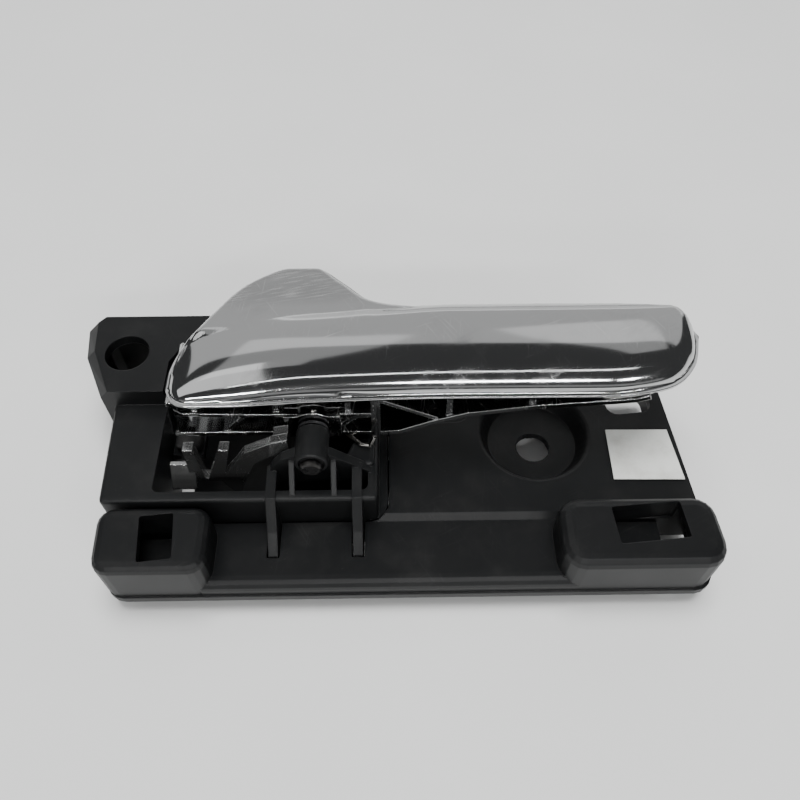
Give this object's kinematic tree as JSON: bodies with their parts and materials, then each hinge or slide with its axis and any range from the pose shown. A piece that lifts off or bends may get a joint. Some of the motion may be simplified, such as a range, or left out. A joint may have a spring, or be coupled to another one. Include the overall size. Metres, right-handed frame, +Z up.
{
  "type": "interior car door handle",
  "caption": "Interior car door release handle: chrome pull lever on a sprung pivot over a black moulded housing with clip windows, a dished screw seat and a fixing tab.",
  "frame": {"origin": "centre of the bounding box at the height of the surface that the housing's back rests on", "axes": "+X along the lever from its pivot end to its grip end, +Y across the lever away from the two-block front bar, +Z up from the door panel towards the hand"},
  "size_m": [0.1665, 0.0786, 0.0505],
  "materials": {
    "black_nylon": "fine-grained satin, glass-filled nylon",
    "black_carrier_nylon": "fine-grained satin, glass-filled nylon",
    "chrome_plate": "bright plated plastic with fine handling scratches",
    "core_chrome_plate": "plated moulding, duller than the cover",
    "black_pin": "black-coated steel, satin",
    "black_acetal": "moulded acetal, slightly glossy",
    "bright_steel": "zinc plated",
    "spring_steel": "bright drawn wire",
    "rubber": "matt moulded rubber",
    "paper": "blank matt paper label"
  },
  "bodies": {
    "housing": {"outer_frame": "black_nylon", "mechanism_carrier": "black_carrier_nylon", "pivot_pin": "black_pin", "pivot_bush_front": "black_acetal", "pivot_bush_rear": "black_acetal", "thrust_washer_front": "black_acetal", "thrust_washer_rear": "black_acetal", "pin_retaining_clip": "bright_steel", "return_spring": "spring_steel", "rest_buffer": "rubber", "stop_buffer": "rubber", "carrier_screw_1": "bright_steel", "carrier_screw_2": "bright_steel", "carrier_screw_3": "bright_steel", "paper_label": "paper"},
    "lever": {"lever_cover": "chrome_plate", "lever_core": "core_chrome_plate", "cable_crank": "core_chrome_plate", "spring_spool": "black_acetal"}
  },
  "joints": [
    {"name": "lever_pivot", "type": "hinge", "parent": "housing", "child": "lever", "pos_m": [-0.01785, 0.0006, 0.0325], "axis": [0, -1, 0], "range_deg": [0, 24], "stiffness_Nm_per_rad": 0.25, "springref_deg": -22.92, "deforming": ["return_spring"]}
  ]
}
